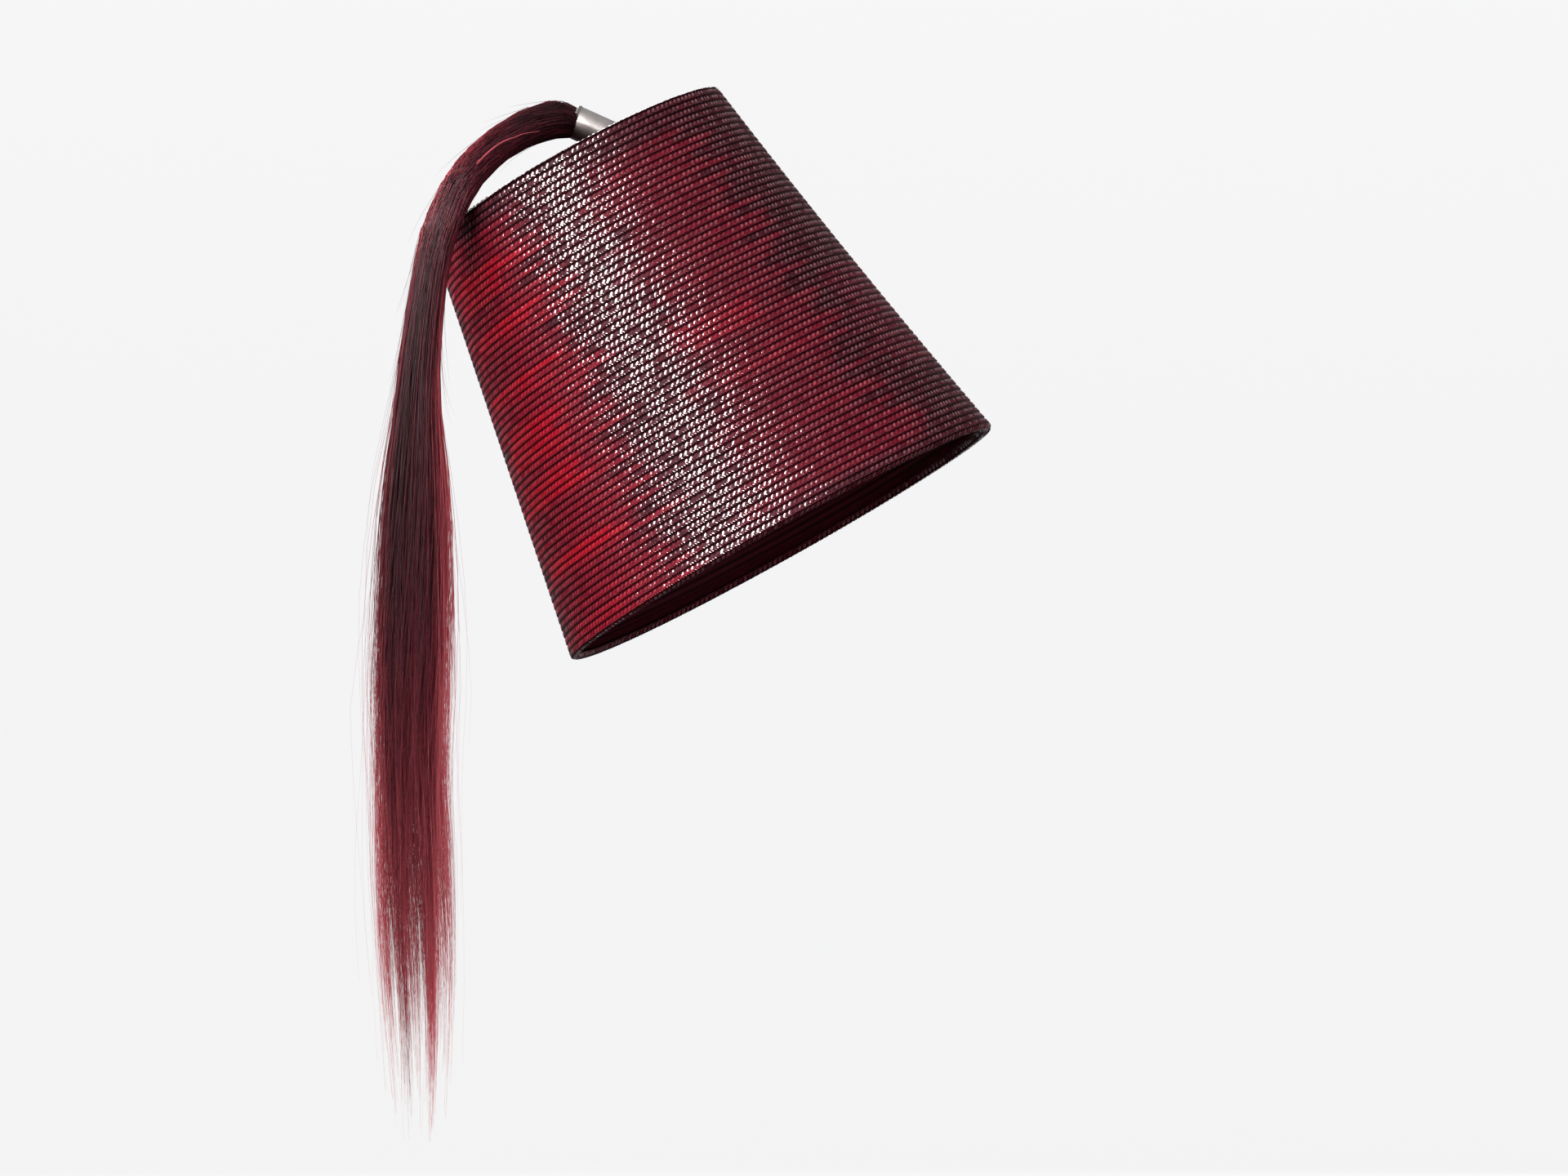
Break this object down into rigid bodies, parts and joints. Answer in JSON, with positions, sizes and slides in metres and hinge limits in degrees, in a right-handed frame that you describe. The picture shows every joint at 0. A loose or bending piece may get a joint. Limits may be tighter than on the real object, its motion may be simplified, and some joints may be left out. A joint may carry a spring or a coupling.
{
  "type": "fez hat",
  "caption": "Tall tapered fez of narrow spiral-sewn braid, worn tilted back, with a hair tassel held in a metal ferrule on its flat top.",
  "frame": {"origin": "middle of the head opening, in the plane of the rim's lowest points, where the hat sits on a head", "axes": "+Z real vertical as worn; +X the hat's front; -Y the wearer's right. The cap leans back 29 degrees about Y, so its own axis points up and to -X"},
  "size_m": [0.2515, 0.1668, 0.4306],
  "materials": {
    "braid": "glossy plaited braid, burgundy with bright red patches",
    "ferrule_metal": "satin pewter",
    "hair": "long glossy hair, burgundy black with auburn edges"
  },
  "bodies": {
    "root": {"braid_crown": "braid", "tassel_ferrule": "ferrule_metal", "ferrule_post": "ferrule_metal", "tassel_hair": "hair"}
  },
  "joints": []
}
